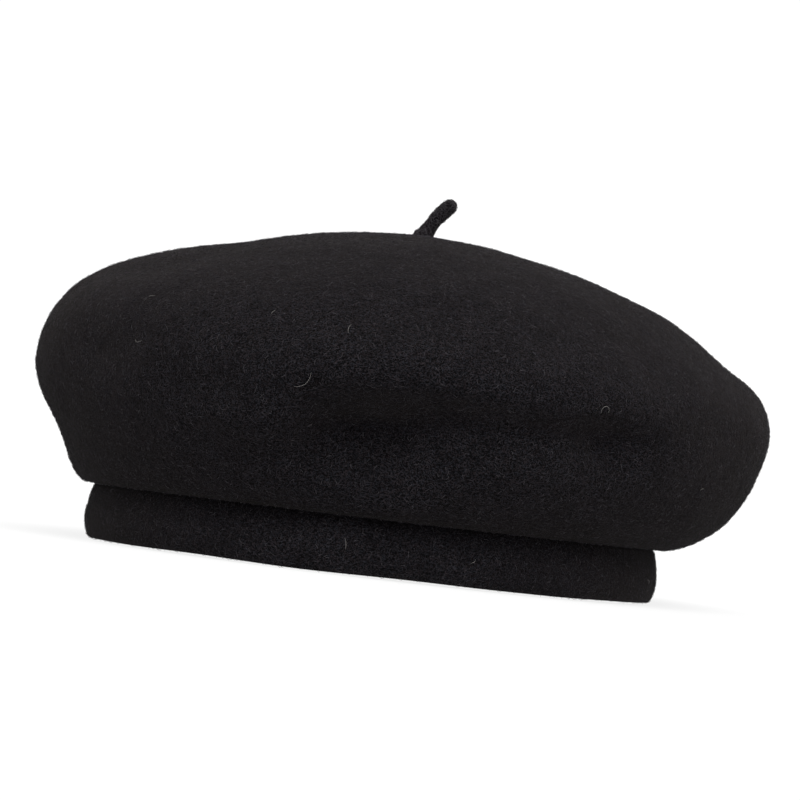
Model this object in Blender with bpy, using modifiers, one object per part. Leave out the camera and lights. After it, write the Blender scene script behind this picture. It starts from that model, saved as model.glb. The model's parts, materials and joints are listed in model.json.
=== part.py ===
"""A black wool felt beret with a folded headband, a stalk, a satin lining and a leather sweatband.

Units are metres and +Z is up. The beret stands on its headband's fold at Z = 0. The origin lies
on that plane, under the middle of the crown. X runs along the long way of the head's oval.
"""

import math

import bmesh
import bpy
from mathutils import Matrix, Vector

# ---- driving dimensions ----------------------------------------------------------------------

CROWN_LENGTH = 0.2546  # the crown across its widest edge, along X
CROWN_WIDTH = 0.2460  # the same along Y
CROWN_TOP = 0.1175  # the felt's highest point, under the stalk
EDGE_HEIGHT = 0.0600  # where the crown is widest
SHOULDER_SWELL = 0.045  # how much fuller the -X shoulder is than a turned one, as a share
UNDERSIDE_POWER = 1.6  # 1 is a straight slope from edge to opening, 2 an ellipse
FELT = 0.0020  # one layer of felt

BAND_LENGTH = 0.1968  # the headband's outside, along X
BAND_WIDTH = 0.1890  # the same along Y
BAND_HEIGHT = 0.0180
BAND_WALL = 0.0042  # two layers of felt pressed together
BAND_OFFSET = -0.0049  # the headband's middle in X, because the crown slouches to +X
FOLD_OUTER_ROUND = 0.0020
FOLD_INNER_ROUND = 0.0006
BAND_TOP_ROUND = 0.0010

CREASE_CLEARANCE = 0.0020  # all round, between the crown's opening and the headband
CREASE_GAP = 0.0006  # the crown's underside starts this far above the headband's top

LINING = 0.0005
LINING_GAP = 0.0006  # between the felt and the lining
LINING_SAG = 0.0042  # further that the lining's middle hangs below the felt
PIPING_RADIUS = 0.0006

SWEATBAND_WALL = 0.0009
SWEATBAND_FOOT = 0.0030  # the height of its lower edge
SWEATBAND_HEIGHT = 0.0210
SEWN_GAP = 0.0004  # between pieces that are sewn face to face

THREAD_RADIUS = 0.00028
SEAM_STITCHES = 40
SWEATBAND_STITCHES = 40
SWEATBAND_STITCH_HEIGHT = 0.0020  # above the sweatband's lower edge
STITCH_WAVE = 0.0002

STALK_X = 0.0015
STALK_LENGTH = 0.0150  # from its pivot to its tip
STALK_ROOT_RADIUS = 0.0022
STALK_NECK_RADIUS = 0.0019
STALK_BELLY_RADIUS = 0.0023
STALK_PIVOT_HEIGHT = 0.0009  # above the felt
STALK_LEAN_FOOT = math.radians(14)
STALK_LEAN_TIP = math.radians(58)
STALK_HOLE_CLEARANCE = 0.0007

KNOT_RADIUS = 0.0055
KNOT_THICKNESS = 0.0016
KNOT_GAP = 0.0003  # to the felt and to the stalk's root
KNOT_FALL = 0.0004  # its rim is this much lower than its middle, as the felt falls away there

TAB_WIDTH = 0.0120
TAB_LENGTH = 0.0100
TAB_THICKNESS = 0.0007
TAB_DROP = 0.0020  # its hinge is this far below the sweatband's top
TAB_GAP = 0.0009
TAB_ROUND = 0.00015

AROUND = 40  # facets round the oval
TOP_RINGS = 12
UNDERSIDE_RINGS = 9
MERGE = 0.00001

# ---- sizes that follow from them -------------------------------------------------------------

EDGE_RADIUS = CROWN_LENGTH / 2
BAND_RADIUS = BAND_LENGTH / 2
BAND_OVAL = BAND_WIDTH / BAND_LENGTH
CROWN_OVAL = CROWN_WIDTH / CROWN_LENGTH
OPENING_RADIUS = BAND_RADIUS + CREASE_CLEARANCE
CREASE_HEIGHT = BAND_HEIGHT + CREASE_GAP
SWEATBAND_OUTER = BAND_RADIUS - BAND_WALL - SEWN_GAP
SWEATBAND_INNER = SWEATBAND_OUTER - SWEATBAND_WALL
SWEATBAND_TOP = SWEATBAND_FOOT + SWEATBAND_HEIGHT
EDGE_LEVEL = Vector((0, 0, EDGE_HEIGHT))


# ---- helpers ---------------------------------------------------------------------------------


def clear_scene():
    for obj in list(bpy.data.objects):
        bpy.data.objects.remove(obj, do_unlink=True)


def collection(name):
    made = bpy.data.collections.new(name)
    bpy.context.scene.collection.children.link(made)
    return made


def material(name, colour, roughness, metallic=0.0):
    made = bpy.data.materials.new(name)
    made.use_nodes = True
    shader = made.node_tree.nodes["Principled BSDF"]
    shader.inputs["Base Color"].default_value = (*colour, 1.0)
    shader.inputs["Roughness"].default_value = roughness
    shader.inputs["Metallic"].default_value = metallic
    return made


def arc(centre, radius, start, end, steps):
    """Points on an arc in the (radius, height) plane. Angles are in degrees, 0 is outwards."""
    points = []
    for i in range(steps + 1):
        angle = math.radians(start + (end - start) * i / steps)
        points.append((centre[0] + radius * math.cos(angle), centre[1] + radius * math.sin(angle)))
    return points


def turned(name, profile, closed=False, steps=AROUND):
    """A mesh turned round Z from (radius, height) points that run down the outer side."""
    mesh = bpy.data.meshes.new(name)
    count = len(profile)
    edges = [(i, i + 1) for i in range(count - 1)]
    if closed:
        edges.append((count - 1, 0))
    mesh.from_pydata([(r, 0, z) for r, z in profile], edges, [])
    source = bpy.data.objects.new(name, mesh)
    bpy.context.scene.collection.objects.link(source)
    screw = source.modifiers.new("turn", "SCREW")
    screw.axis = "Z"
    screw.steps = steps
    screw.render_steps = steps
    screw.use_merge_vertices = True
    screw.merge_threshold = MERGE
    bpy.context.view_layer.update()
    done = bpy.data.meshes.new_from_object(source.evaluated_get(bpy.context.evaluated_depsgraph_get()))
    bpy.data.objects.remove(source, do_unlink=True)
    done.name = name
    return done


def move_points(mesh, place):
    for vertex in mesh.vertices:
        vertex.co = place(vertex.co)
    mesh.update()


def sink(mesh, depth):
    """Moves a surface inwards by the depth, square to itself."""
    sunk = [vertex.co - vertex.normal * depth for vertex in mesh.vertices]
    for vertex, co in zip(mesh.vertices, sunk):
        vertex.co = co
    mesh.update()


def keep_between(mesh, low, high):
    """Keeps the faces whose points all lie between two heights."""
    cut = bmesh.new()
    cut.from_mesh(mesh)
    outside = [f for f in cut.faces if any(not low < vertex.co.z < high for vertex in f.verts)]
    bmesh.ops.delete(cut, geom=outside, context="FACES")
    cut.to_mesh(mesh)
    cut.free()


def piece(name, mesh, surface, pivot=None):
    """A finished sub-part in the beret's collection. Its parent is its pivot, where it has one."""
    obj = bpy.data.objects.new(name, mesh)
    beret.objects.link(obj)
    mesh.materials.clear()
    mesh.materials.append(surface)
    mesh.shade_smooth()
    mesh.set_sharp_from_angle(angle=math.radians(40))
    if pivot:
        hang_on(obj, pivot)
    return obj


def hang_on(obj, pivot):
    obj.parent = pivot
    obj.matrix_parent_inverse = Matrix.Translation(pivot.location).inverted()


def thicken(obj, thickness):
    """A wall inside an open surface, so that the surface stays the outside."""
    wall = obj.modifiers.new("wall", "SOLIDIFY")
    wall.thickness = thickness
    wall.offset = -1
    wall.use_even_offset = True


def closed_thread(name, points, radius, surface, pivot=None):
    """A thread laid round a closed row of stitches."""
    curve = bpy.data.curves.new(name, "CURVE")
    curve.dimensions = "3D"
    curve.bevel_depth = radius
    curve.bevel_resolution = 2
    line = curve.splines.new("POLY")
    line.points.add(len(points) - 1)
    for point, co in zip(line.points, points):
        point.co = (*co, 1)
    line.use_cyclic_u = True
    curve.materials.append(surface)
    obj = bpy.data.objects.new(name, curve)
    beret.objects.link(obj)
    if pivot:
        hang_on(obj, pivot)
    return obj


# ---- the forms that the pieces share ---------------------------------------------------------


def crown_profile():
    """The crown's outer section from its middle, over the edge, down to the opening.

    The top is a quarter of an ellipse. The underside is a fuller or flatter curve, which
    UNDERSIDE_POWER sets.
    """
    rise = CROWN_TOP - EDGE_HEIGHT
    drop = EDGE_HEIGHT - CREASE_HEIGHT
    overhang = EDGE_RADIUS - OPENING_RADIUS
    points = []
    for i in range(TOP_RINGS):
        angle = math.pi / 2 * i / TOP_RINGS
        points.append((EDGE_RADIUS * math.sin(angle), EDGE_HEIGHT + rise * math.cos(angle)))
    for i in range(UNDERSIDE_RINGS + 1):
        angle = math.pi / 2 * i / UNDERSIDE_RINGS
        out = abs(math.cos(angle)) ** (2 / UNDERSIDE_POWER)
        down = math.sin(angle) ** (2 / UNDERSIDE_POWER)
        points.append((OPENING_RADIUS + overhang * out, EDGE_HEIGHT - drop * down))
    return points


def on_crown(co):
    """Where a point of the turned crown lies on the oval crown, with its slouch and its shoulder."""
    if co.z < EDGE_HEIGHT:
        out = min(max((co.xy.length - OPENING_RADIUS) / (EDGE_RADIUS - OPENING_RADIUS), 0), 1)
        oval = BAND_OVAL + (CROWN_OVAL - BAND_OVAL) * out
        return Vector((co.x + BAND_OFFSET * (1 - out) ** 2, co.y * oval, co.z))
    above = min((co.z - EDGE_HEIGHT) / (CROWN_TOP - EDGE_HEIGHT), 1)
    swell = 1 - SHOULDER_SWELL * math.sin(math.pi * above) ** 2 * co.x / EDGE_RADIUS
    return Vector((co.x * swell, co.y * CROWN_OVAL * swell, co.z))


def middle_share(co):
    """1 under the middle of the crown, falling smoothly to 0 at its edge."""
    return (1 - min(co.xy.length / EDGE_RADIUS, 1) ** 2) ** 2


def on_band(co):
    """Where a point of a ring turned round Z lies on the headband's oval."""
    return Vector((co.x + BAND_OFFSET, co.y * BAND_OVAL, co.z))


def stitch_points(stitches, radius, height, wave):
    """Two points a stitch round the headband's oval, in and out by the wave."""
    points = []
    for i in range(2 * stitches):
        angle = math.pi * i / stitches
        reach = radius + (wave if i % 2 else -wave)
        points.append(on_band(Vector((reach * math.cos(angle), reach * math.sin(angle), height))))
    return points


# ---- the pieces ------------------------------------------------------------------------------


def make_crown(pivot):
    """The felted crown: top, edge and underside in one, with the stalk's hole."""
    mesh = turned("felt_crown", crown_profile())
    move_points(mesh, on_crown)
    crown = piece("felt_crown", mesh, felt, pivot)
    thicken(crown, FELT)
    bpy.ops.mesh.primitive_cylinder_add(
        vertices=20,
        radius=STALK_ROOT_RADIUS + STALK_HOLE_CLEARANCE,
        depth=6 * FELT,
        location=(STALK_X, 0, CROWN_TOP),
    )
    drill = bpy.context.active_object
    drill.name = "stalk_hole_cutter"
    for home in list(drill.users_collection):
        home.objects.unlink(drill)
    cutters.objects.link(drill)
    drill.hide_render = True
    drill.display_type = "WIRE"
    hole = crown.modifiers.new("stalk hole", "BOOLEAN")
    hole.object = drill
    hole.operation = "DIFFERENCE"
    hole.solver = "EXACT"


def make_headband():
    """The doubled felt headband: its fold is rounded, with a narrow flat where it rests."""
    outer, inner = BAND_RADIUS, BAND_RADIUS - BAND_WALL
    top = BAND_HEIGHT - BAND_TOP_ROUND
    profile = arc((outer - BAND_TOP_ROUND, top), BAND_TOP_ROUND, 90, 0, 2)
    profile += arc((outer - FOLD_OUTER_ROUND, FOLD_OUTER_ROUND), FOLD_OUTER_ROUND, 0, -90, 4)
    profile += arc((inner + FOLD_INNER_ROUND, FOLD_INNER_ROUND), FOLD_INNER_ROUND, -90, -180, 2)
    profile += arc((inner + BAND_TOP_ROUND, top), BAND_TOP_ROUND, 180, 90, 2)
    mesh = turned("headband", profile, closed=True)
    move_points(mesh, on_band)
    piece("headband", mesh, felt)


def make_seam_thread():
    """The thread that joins the crown to the headband, lying on the headband's top."""
    height = BAND_HEIGHT + SEWN_GAP + THREAD_RADIUS
    points = stitch_points(SEAM_STITCHES, BAND_RADIUS - BAND_WALL / 2, height, STITCH_WAVE)
    closed_thread("crown_seam_thread", points, THREAD_RADIUS, black_thread)


def make_lining(pivot):
    """The satin lining: a tip over the head, a side under the edge, and the piping between them."""
    depth = FELT + LINING_GAP
    parted = PIPING_RADIUS + SEWN_GAP + LINING
    top, bottom = EDGE_HEIGHT + parted, EDGE_HEIGHT - parted
    # Without the last point, so that the hem stops one ring short of the crease.
    outside = [point for point in crown_profile()[:-1] if abs(point[1] - EDGE_HEIGHT) > parted]
    first_below = next(i for i, point in enumerate(outside) if point[1] < EDGE_HEIGHT)
    outside[first_below:first_below] = [(EDGE_RADIUS, top), (EDGE_RADIUS, bottom)]
    sides = (("lining_tip", LINING_SAG, EDGE_HEIGHT, math.inf), ("lining_side", 0, 0, EDGE_HEIGHT))
    for name, sag, low, high in sides:
        mesh = turned(name, outside)
        move_points(mesh, on_crown)
        sink(mesh, depth)
        keep_between(mesh, low, high)
        move_points(mesh, lambda co, sag=sag: co - Vector((0, 0, sag * middle_share(co))))
        thicken(piece(name, mesh, satin, pivot), LINING)
    ring = []
    for i in range(AROUND):
        angle = 2 * math.pi * i / AROUND
        edge = on_crown(Vector((math.cos(angle), math.sin(angle), 0)) * EDGE_RADIUS + EDGE_LEVEL)
        outwards = Vector((edge.x / CROWN_LENGTH**2, edge.y / CROWN_WIDTH**2, 0)).normalized()
        ring.append(edge - outwards * (depth + PIPING_RADIUS))
    closed_thread("lining_piping", ring, PIPING_RADIUS, satin, pivot)


def make_sweatband():
    """The leather sweatband inside the headband, and the thread along its lower edge."""
    profile = [
        (SWEATBAND_INNER, SWEATBAND_TOP),
        (SWEATBAND_OUTER, SWEATBAND_TOP),
        (SWEATBAND_OUTER, SWEATBAND_FOOT),
        (SWEATBAND_INNER, SWEATBAND_FOOT),
    ]
    mesh = turned("sweatband", profile, closed=True)
    move_points(mesh, on_band)
    piece("sweatband", mesh, leather)
    radius = SWEATBAND_INNER - SEWN_GAP - STITCH_WAVE - THREAD_RADIUS
    height = SWEATBAND_FOOT + SWEATBAND_STITCH_HEIGHT
    points = stitch_points(SWEATBAND_STITCHES, radius, height, STITCH_WAVE)
    closed_thread("sweatband_thread", points, THREAD_RADIUS, black_thread)


def make_stalk(pivot):
    """The stalk: a round root in the crown's hole, a neck, a belly and a round tip, bent to +X."""
    root, tip = STALK_ROOT_RADIUS, STALK_BELLY_RADIUS * 0.9
    profile = arc((0, STALK_LENGTH - tip), tip, 90, 10, 5)
    for share, radius in ((0.62, STALK_BELLY_RADIUS), (0.40, STALK_BELLY_RADIUS), (0.22, STALK_NECK_RADIUS)):
        profile.append((radius, STALK_LENGTH * share))
    profile += arc((0, 0), root, 45, -90, 7)
    profile[0] = (0, STALK_LENGTH)
    profile[-1] = (0, -root)
    mesh = turned("stalk", profile, steps=16)

    def bend(co):
        """Bends the straight stalk so that its lean grows evenly from foot to tip."""
        along = max(co.z, 0) / STALK_LENGTH
        turn = (STALK_LEAN_TIP - STALK_LEAN_FOOT) * along
        lean = STALK_LEAN_FOOT + turn
        mean = STALK_LEAN_FOOT + turn / 2
        middle = Vector((math.sin(mean), 0, math.cos(mean))) * max(co.z, 0)
        across = Vector((math.cos(lean), 0, -math.sin(lean))) * co.x + Vector((0, co.y, 0))
        below = Vector((math.sin(lean), 0, math.cos(lean))) * min(co.z, 0)
        return middle + across + below

    move_points(mesh, bend)
    stalk = piece("stalk", mesh, felt)
    stalk.location = (STALK_X, 0, CROWN_TOP + STALK_PIVOT_HEIGHT)
    hang_on(stalk, pivot)


def make_knot(pivot):
    """The stalk's knotted end inside the felt: a flat button with a boss in the hole."""
    top = CROWN_TOP - FELT - KNOT_GAP
    boss_top = CROWN_TOP + STALK_PIVOT_HEIGHT - STALK_ROOT_RADIUS - KNOT_GAP
    boss = STALK_ROOT_RADIUS + STALK_HOLE_CLEARANCE - KNOT_GAP
    rim = KNOT_THICKNESS / 2
    profile = [(0, boss_top), (boss, boss_top), (boss, top)]
    profile += arc((KNOT_RADIUS - rim, top - KNOT_FALL - rim), rim, 80, -90, 4)
    profile.append((0, top - KNOT_FALL - 2 * rim))
    mesh = turned("stalk_knot", profile, steps=24)
    move_points(mesh, lambda co: Vector((co.x + STALK_X, co.y, co.z)))
    piece("stalk_knot", mesh, felt, pivot)


def make_tab():
    """The blank size tab, which hangs from the top of the sweatband at the back (+Y)."""
    bpy.ops.mesh.primitive_cube_add(size=1)
    tab = bpy.context.active_object
    tab.name = "size_tab"
    for home in list(tab.users_collection):
        home.objects.unlink(tab)
    beret.objects.link(tab)
    half = TAB_THICKNESS / 2
    size = Matrix.Diagonal((TAB_WIDTH, TAB_THICKNESS, TAB_LENGTH, 1))
    tab.data.transform(Matrix.Translation((0, 0, half - TAB_LENGTH / 2)) @ size)
    tab.location = (
        BAND_OFFSET,
        SWEATBAND_INNER * BAND_OVAL - TAB_GAP - half,
        SWEATBAND_TOP - TAB_DROP,
    )
    edges = tab.modifiers.new("soft edges", "BEVEL")
    edges.width = TAB_ROUND
    edges.segments = 1
    tab.data.materials.append(ribbon)


# ---- the beret -------------------------------------------------------------------------------

clear_scene()
beret = collection("beret")
cutters = collection("cutters")

felt = material("black_felt", (0.017, 0.016, 0.017), 0.95)
satin = material("black_satin", (0.012, 0.012, 0.014), 0.35)
leather = material("black_leather", (0.020, 0.018, 0.017), 0.50)
black_thread = material("black_thread", (0.025, 0.024, 0.026), 0.60)
ribbon = material("grey_ribbon", (0.42, 0.41, 0.40), 0.70)

crown_pivot = bpy.data.objects.new("crown_pivot", None)
crown_pivot.location = (BAND_OFFSET, 0, CREASE_HEIGHT)
beret.objects.link(crown_pivot)

make_crown(crown_pivot)
make_stalk(crown_pivot)
make_knot(crown_pivot)
make_lining(crown_pivot)
make_headband()
make_seam_thread()
make_sweatband()
make_tab()
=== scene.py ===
# %% [markdown]
# # A black wool felt beret
# The beret stands on its headband. This notebook dresses a working model of it: the frame below
# holds the real sizes, the bodies and the joints, and every cell after it makes one piece or one
# finish of the beret around that frame.

# %% Load the frame
import json
import math

import bmesh
import bpy
import numpy as np
from mathutils import Matrix, Vector, noise
from mathutils.bvhtree import BVHTree


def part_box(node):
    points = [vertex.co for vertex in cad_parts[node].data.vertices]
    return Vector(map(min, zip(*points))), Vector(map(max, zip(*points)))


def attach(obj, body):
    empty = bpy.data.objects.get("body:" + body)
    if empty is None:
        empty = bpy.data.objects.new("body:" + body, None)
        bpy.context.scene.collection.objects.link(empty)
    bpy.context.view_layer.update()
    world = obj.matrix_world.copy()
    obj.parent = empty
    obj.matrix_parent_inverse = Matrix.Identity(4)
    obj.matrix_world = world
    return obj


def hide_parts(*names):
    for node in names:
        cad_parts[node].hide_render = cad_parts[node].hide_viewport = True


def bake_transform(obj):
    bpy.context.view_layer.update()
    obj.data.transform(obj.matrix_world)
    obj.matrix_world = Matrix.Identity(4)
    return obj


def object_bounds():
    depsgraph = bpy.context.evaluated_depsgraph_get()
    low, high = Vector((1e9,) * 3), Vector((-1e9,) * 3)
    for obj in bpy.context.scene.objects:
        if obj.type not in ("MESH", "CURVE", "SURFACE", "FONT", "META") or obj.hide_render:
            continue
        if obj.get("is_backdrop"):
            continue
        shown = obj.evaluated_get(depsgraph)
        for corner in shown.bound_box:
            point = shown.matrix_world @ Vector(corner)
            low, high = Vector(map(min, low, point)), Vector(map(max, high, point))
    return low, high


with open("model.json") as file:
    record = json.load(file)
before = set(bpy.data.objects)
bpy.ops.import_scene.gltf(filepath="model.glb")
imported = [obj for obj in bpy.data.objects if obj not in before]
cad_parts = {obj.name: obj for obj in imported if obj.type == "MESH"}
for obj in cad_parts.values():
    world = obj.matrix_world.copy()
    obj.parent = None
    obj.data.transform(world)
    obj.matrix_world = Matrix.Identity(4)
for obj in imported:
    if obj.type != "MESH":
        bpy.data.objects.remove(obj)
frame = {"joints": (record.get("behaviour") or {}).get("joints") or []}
cad_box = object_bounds()

# %% [markdown]
# ## The sizes that everything follows
# The crown is a lens of felt: its top is a quarter of an ellipse, its underside a flatter curve
# that runs in to the headband. Reading those sizes from the frame's boxes, and not typing them
# again, keeps the cloth on the model when a size changes.

# %% Sizes read from the frame
crown_low, crown_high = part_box("felt_crown")
band_low, band_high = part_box("headband")
piping_low, piping_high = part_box("lining_piping")
sweat_low, sweat_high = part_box("sweatband")
tab_low, tab_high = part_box("size_tab")
joints = {joint["name"]: joint for joint in frame["joints"]}

EDGE_RADIUS = (crown_high[0] - crown_low[0]) / 2
CROWN_OVAL = (crown_high[1] - crown_low[1]) / (2 * EDGE_RADIUS)
CROWN_TOP = crown_high[2]
CREASE_HEIGHT = crown_low[2]
EDGE_HEIGHT = (piping_low[2] + piping_high[2]) / 2
BAND_RADIUS = (band_high[0] - band_low[0]) / 2
BAND_OVAL = (band_high[1] - band_low[1]) / (2 * BAND_RADIUS)
BAND_OFFSET = (band_high[0] + band_low[0]) / 2
BAND_HEIGHT = band_high[2]
BAND_WALL = 0.0042
OPENING_RADIUS = BAND_RADIUS + 0.0020
UNDERSIDE_POWER = 1.6
SHOULDER_SWELL = 0.045
FELT = 0.0020
STALK_PIVOT = Vector(joints["stalk_bend"]["pos_m"])
print(f"crown {2000 * EDGE_RADIUS:.1f} mm across, headband {2000 * BAND_RADIUS:.1f} mm")

# %% [markdown]
# ## Writing node trees as sums
# A shape or a finish is a formula, and a formula reads best as one. A small class wraps one output
# of a node tree, so that `1 - mask` or `a * b` adds the Math nodes by itself. The same class serves
# the trees that make meshes and the trees that colour them.


# %% Expressions on node trees
def maths(operation, swapped=False):
    """An operator of Wire: it adds one Math node."""

    def run(self, other=0.0):
        pair = {0: other, 1: self} if swapped else {0: self, 1: other}
        return self.graph.node("ShaderNodeMath", {"operation": operation}, pair)

    return run


class Wire:
    """One value in a node tree."""

    def __init__(self, graph, socket):
        self.graph = graph
        self.socket = socket

    __add__ = __radd__ = maths("ADD")
    __mul__ = __rmul__ = maths("MULTIPLY")
    __sub__ = maths("SUBTRACT")
    __rsub__ = maths("SUBTRACT", swapped=True)
    __truediv__ = maths("DIVIDE")
    __rtruediv__ = maths("DIVIDE", swapped=True)
    __pow__ = maths("POWER")
    __gt__ = maths("GREATER_THAN")
    least = maths("MINIMUM")
    most = maths("MAXIMUM")
    sine = maths("SINE")
    cosine = maths("COSINE")
    exponential = maths("EXPONENT")
    absolute = maths("ABSOLUTE")
    sign = maths("SIGN")

    def other(self, label):
        """Another output of the same node."""
        return Wire(self.graph, self.socket.node.outputs[label])

    def between(self, low, high, smooth=False):
        """0 at low, 1 at high, and held outside them."""
        kind = {"interpolation_type": "SMOOTHSTEP" if smooth else "LINEAR"}
        return self.graph.node("ShaderNodeMapRange", kind, {0: self, 1: low, 2: high, 3: 0.0, 4: 1.0})


# %% The tree being written
class Graph:
    """A node tree that is being written."""

    def __init__(self, tree):
        self.tree = tree

    def node(self, kind, settings=None, values=None, out=0):
        """Adds one node: its settings first, then what its sockets hold. Returns one output."""
        made = self.tree.nodes.new(kind)
        for name, value in (settings or {}).items():
            setattr(made, name, value)
        for key, value in (values or {}).items():
            self.feed(made.inputs[key], value)
        return Wire(self, made.outputs[out])

    def feed(self, socket, value):
        if isinstance(value, Wire):
            self.tree.links.new(value.socket, socket)
        else:
            socket.default_value = value

    def vector(self, operation, first, second=None, out=0, **named):
        values = {0: first} | ({} if second is None else {1: second}) | named
        return self.node("ShaderNodeVectorMath", {"operation": operation}, values, out)

    def parts(self, vector):
        """The x, y and z of a vector."""
        split = self.node("ShaderNodeSeparateXYZ", {}, {0: vector})
        return [Wire(self, socket) for socket in split.socket.node.outputs]

    def join(self, x, y, z):
        return self.node("ShaderNodeCombineXYZ", {}, {0: x, 1: y, 2: z})


# %% [markdown]
# ## Trees that make shapes
# A tree's inputs are the sizes that a maker would ask for, so one tree serves several pieces. Each
# tree ends by making its copies real and giving them their finish. What it makes is then taken off
# as a plain mesh, because joints, records and exports all want plain meshes.

# %% A tree with named inputs, and its end
SOCKETS = {
    float: "NodeSocketFloat",
    int: "NodeSocketInt",
    "mesh": "NodeSocketGeometry",
    "material": "NodeSocketMaterial",
}


def shape_tree(name, inputs):
    """A Geometry Nodes tree with named inputs. Returns its graph and its inputs by name."""
    tree = bpy.data.node_groups.new(name, "GeometryNodeTree")
    for label, kind in inputs.items():
        tree.interface.new_socket(name=label, in_out="INPUT", socket_type=SOCKETS[kind])
    tree.interface.new_socket(name="Result", in_out="OUTPUT", socket_type="NodeSocketGeometry")
    graph = Graph(tree)
    entry = tree.nodes.new("NodeGroupInput")
    return graph, {label: Wire(graph, entry.outputs[label]) for label in inputs}


def finish_tree(graph, mesh, surface):
    """Every tree ends the same way: real geometry, with its finish."""
    real = graph.node("GeometryNodeRealizeInstances", {}, {0: mesh})
    dressed = graph.node("GeometryNodeSetMaterial", {}, {"Geometry": real, "Material": surface})
    leave = graph.tree.nodes.new("NodeGroupOutput")
    graph.tree.links.new(dressed.socket, leave.inputs[0])
    return graph.tree


# %% A flat grid bent into shape
def flat_grid(graph, columns, rows):
    """A flat grid, and how far round it and along it each point lies, both from 0 to 1."""
    values = {"Size X": 1.0, "Size Y": 1.0, "Vertices X": columns, "Vertices Y": rows}
    flat = graph.node("GeometryNodeMeshGrid", {}, values)
    x, y, _ = graph.parts(graph.node("GeometryNodeInputPosition"))
    return flat, x + 0.5, y + 0.5


def laid_out(graph, flat, place, gap):
    """Moves each point to its place, then joins the points that come within a gap."""
    laid = graph.node("GeometryNodeSetPosition", {}, {"Geometry": flat, "Position": place})
    return graph.node("GeometryNodeMergeByDistance", {}, {"Geometry": laid, "Distance": gap})


def shifted(graph, mesh, offset):
    return graph.node("GeometryNodeSetPosition", {}, {"Geometry": mesh, "Offset": offset})


# %% From a tree to a plain mesh
def placed(name, data):
    """A new object in the scene."""
    made = bpy.data.objects.new(name, data)
    bpy.context.scene.collection.objects.link(made)
    return made


def plain_mesh(obj):
    """What an object and its modifiers make, as a mesh of its own."""
    bpy.context.view_layer.update()
    return bpy.data.meshes.new_from_object(obj.evaluated_get(bpy.context.evaluated_depsgraph_get()))


def grown(name, tree, values, base=None):
    """Runs a tree and returns its result as a plain mesh object at the origin."""
    source = placed(name + "_source", base.data.copy() if base else bpy.data.meshes.new(name))
    modifier = source.modifiers.new("nodes", "NODES")
    modifier.node_group = tree
    for item in tree.interface.items_tree:
        if item.in_out == "INPUT" and item.name in values:
            modifier[item.identifier] = values[item.name]
    mesh = plain_mesh(source)
    bpy.data.objects.remove(source, do_unlink=True)
    mesh.name = name
    mesh.shade_smooth()
    mesh.calc_loop_triangles()
    print(f"{name}: {len(mesh.loop_triangles)} triangles")
    return placed(name, mesh)


def with_wall(obj, wall, side=-1):
    """Gives an open surface a wall: inside it, or half on each side where side is 0."""
    layer = obj.modifiers.new("wall", "SOLIDIFY")
    layer.thickness = wall
    layer.offset = side
    mesh = plain_mesh(obj)
    obj.modifiers.clear()
    obj.data = mesh
    mesh.name = obj.name
    return obj


# %% [markdown]
# ## Felt
# Beret felt is knitted wool, milled until the stitches vanish under a mat of short fibres. It could
# be one flat black, but what makes it read as wool is that the mat is uneven: fibres a few tenths
# of a millimetre wide run every way, some thicker patches are darker, and the loose ends catch light
# at a grazing angle. Long thin noise, laid five ways over each other, gives the fibres; the
# shader's own sheen gives the bloom.


# %% Noise that all the finishes use
def finish(name, numbers):
    """A new material, the graph that colours it and its shader's sockets."""
    made = bpy.data.materials.new(name)
    made.use_nodes = True
    sockets = made.node_tree.nodes["Principled BSDF"].inputs
    for label, number in numbers.items():
        sockets[label].default_value = number
    return made, Graph(made.node_tree), sockets


def cloud(graph, place, scale, detail=2.0, roughness=0.55, distortion=0.0):
    values = {"Vector": place, "Scale": scale, "Detail": detail}
    values |= {"Roughness": roughness, "Distortion": distortion}
    return graph.node("ShaderNodeTexNoise", {}, values)


def tint(graph, share, first, second):
    """A colour between two others."""
    return graph.node("ShaderNodeMix", {"data_type": "RGBA"}, {0: share, 6: first, 7: second}, 2)


def strands(graph, place, turn, across, along):
    """Long thin noise: fibres that run one way, bent by a slower noise."""
    values = {"Vector": place, "Rotation": turn, "Scale": (along, across, across)}
    laid = graph.node("ShaderNodeMapping", {"vector_type": "POINT"}, values)
    return cloud(graph, laid, 1.0, 1.5, 0.5, 0.4)


def relief(graph, height, distance):
    """Light falls as on a surface raised by a height, `distance` metres at 1."""
    return graph.node("ShaderNodeBump", {}, {"Strength": 1.0, "Distance": distance, "Height": height})


# %% The felt itself
# How fine each pattern is, in waves to the metre.
FIBRE_ACROSS, FIBRE_ALONG = 2700.0, 850.0
BENDS, PATCHES, SPECKS, DYE, LUMPS = 180.0, 90.0, 2500.0, 1300.0, 700.0
BEND_DEPTH = 0.0035  # how far a strand wanders, in metres
# The ways that the strands run, as turns about x, y and z.
WAYS = ((0.3, 0.2, 0.4), (1.1, 0.7, 1.9), (0.5, 1.8, 2.8), (2.2, 0.4, 0.9), (1.7, 2.5, 0.2))


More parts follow.
